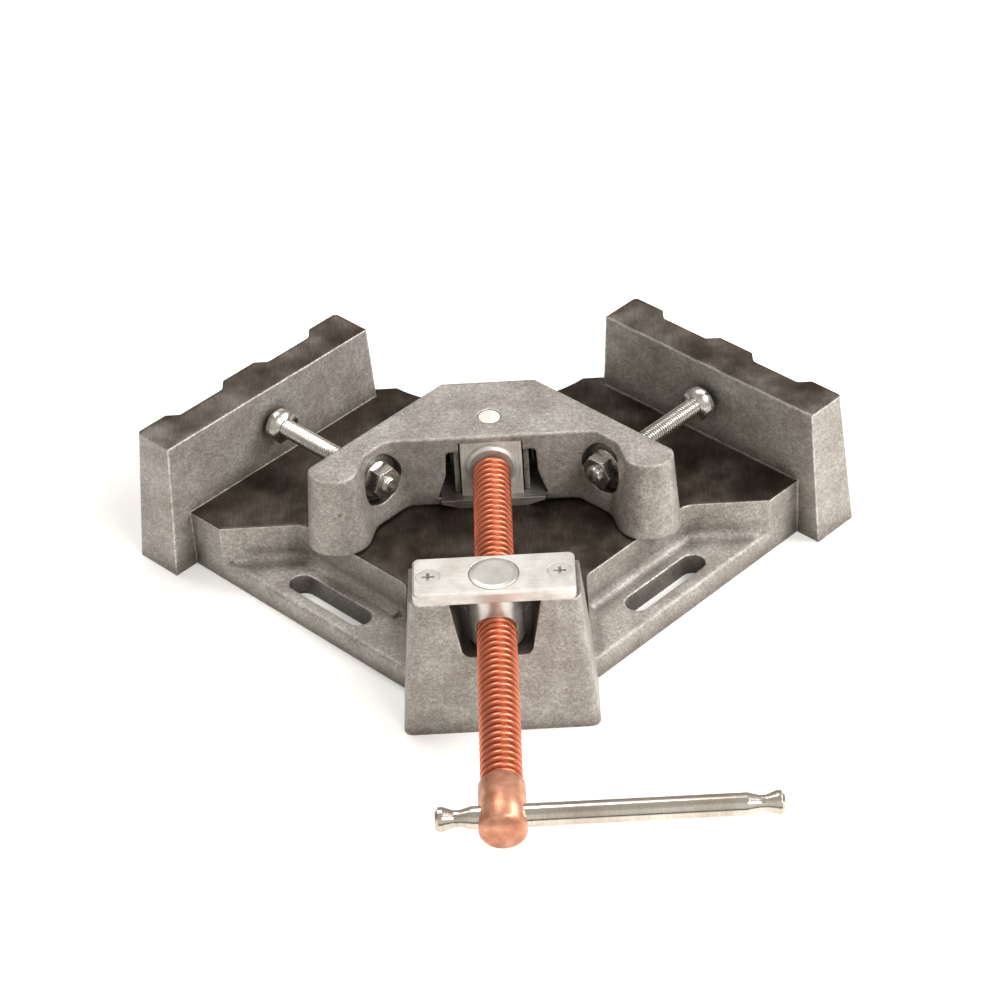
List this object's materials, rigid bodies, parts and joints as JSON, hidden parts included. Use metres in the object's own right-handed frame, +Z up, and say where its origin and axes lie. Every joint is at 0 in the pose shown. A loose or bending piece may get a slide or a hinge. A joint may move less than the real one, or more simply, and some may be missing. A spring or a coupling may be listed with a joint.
{
  "type": "welding corner clamp",
  "caption": "Cast right-angle clamp: a screw with a sliding tommy bar winds a floating jaw on a pin towards two square fences, to hold a mitred or butted corner.",
  "frame": {"origin": "on the bench plane, under the vertical axis on which the screw's nut swivels", "axes": "+Z up; +Y from the handle towards the corner of the fences; +X to the right of someone standing at the handle"},
  "size_m": [0.308, 0.3256, 0.0695],
  "materials": {
    "painted_casting": "silver-grey hammered paint, worn bright at the edges, machined brown-grey on the seat and the fence tops",
    "zinc_plated_plate": "satin zinc plate",
    "ground_steel_plate": "surface ground, oiled",
    "hardened_washer": "hardened, dull",
    "turned_nut_steel": "fine turned, bright",
    "copper_plated_steel": "copper plated, satin, darker in the thread",
    "nickel_plated_bar": "nickel plated, lightly worn",
    "milled_block_steel": "milled, satin",
    "turned_ring_steel": "fine turned, bright rim",
    "ground_pin_steel": "ground",
    "zinc_plated_fastener": "bright zinc plate"
  },
  "bodies": {
    "base": {"base_casting": "painted_casting", "cover_plate": "zinc_plated_plate", "pivot_washer": "hardened_washer", "cover_screw_left": "zinc_plated_fastener", "cover_screw_right": "zinc_plated_fastener"},
    "nut": {"swivel_nut": "turned_nut_steel"},
    "carriage": {"thrust_block": "milled_block_steel", "thrust_ring": "turned_ring_steel", "retaining_pin_left": "ground_pin_steel", "retaining_pin_right": "ground_pin_steel"},
    "screw": {"spindle": "copper_plated_steel"},
    "handle": {"tommy_bar": "nickel_plated_bar"},
    "jaw": {"moving_jaw": "painted_casting", "keeper_plate": "ground_steel_plate", "jaw_pivot_pin": "ground_pin_steel", "keeper_screw_left": "zinc_plated_fastener", "keeper_screw_right": "zinc_plated_fastener", "lock_washer_left": "zinc_plated_fastener", "lock_washer_right": "zinc_plated_fastener", "lock_nut_left": "zinc_plated_fastener", "lock_nut_right": "zinc_plated_fastener"},
    "bolt_left": {"jaw_bolt_left": "zinc_plated_fastener"},
    "bolt_right": {"jaw_bolt_right": "zinc_plated_fastener"}
  },
  "joints": [
    {"name": "nut_swivel", "type": "hinge", "parent": "base", "child": "nut", "pos_m": [0, 0, 0], "axis": [0, 0, 1], "range_deg": [-2.5, 2.5]},
    {"name": "jaw_slide", "type": "slide", "parent": "nut", "child": "carriage", "axis": [0, 1, 0], "range_m": [-0.0551, 0.0006]},
    {"name": "spindle_spin", "type": "hinge", "parent": "carriage", "child": "screw", "pos_m": [0, 0, 0.048], "axis": [0, 1, 0], "range_deg": [-5657.14, 51.43]},
    {"name": "tommy_slide", "type": "slide", "parent": "screw", "child": "handle", "axis": [1, 0, 0], "range_m": [-0.086, 0.008]},
    {"name": "jaw_pivot", "type": "hinge", "parent": "carriage", "child": "jaw", "pos_m": [0, 0.114, 0], "axis": [0, 0, 1], "range_deg": [-1.2, 1.2]},
    {"name": "bolt_slide_left", "type": "slide", "parent": "jaw", "child": "bolt_left", "axis": [-0.7071, 0.7071, 0], "range_m": [-0.015, 0]},
    {"name": "bolt_slide_right", "type": "slide", "parent": "jaw", "child": "bolt_right", "axis": [0.7071, 0.7071, 0], "range_m": [-0.015, 0]}
  ],
  "couplings": [
    {"joint": "jaw_slide", "follows": "spindle_spin", "m_per_rad": 0.00055704}
  ]
}
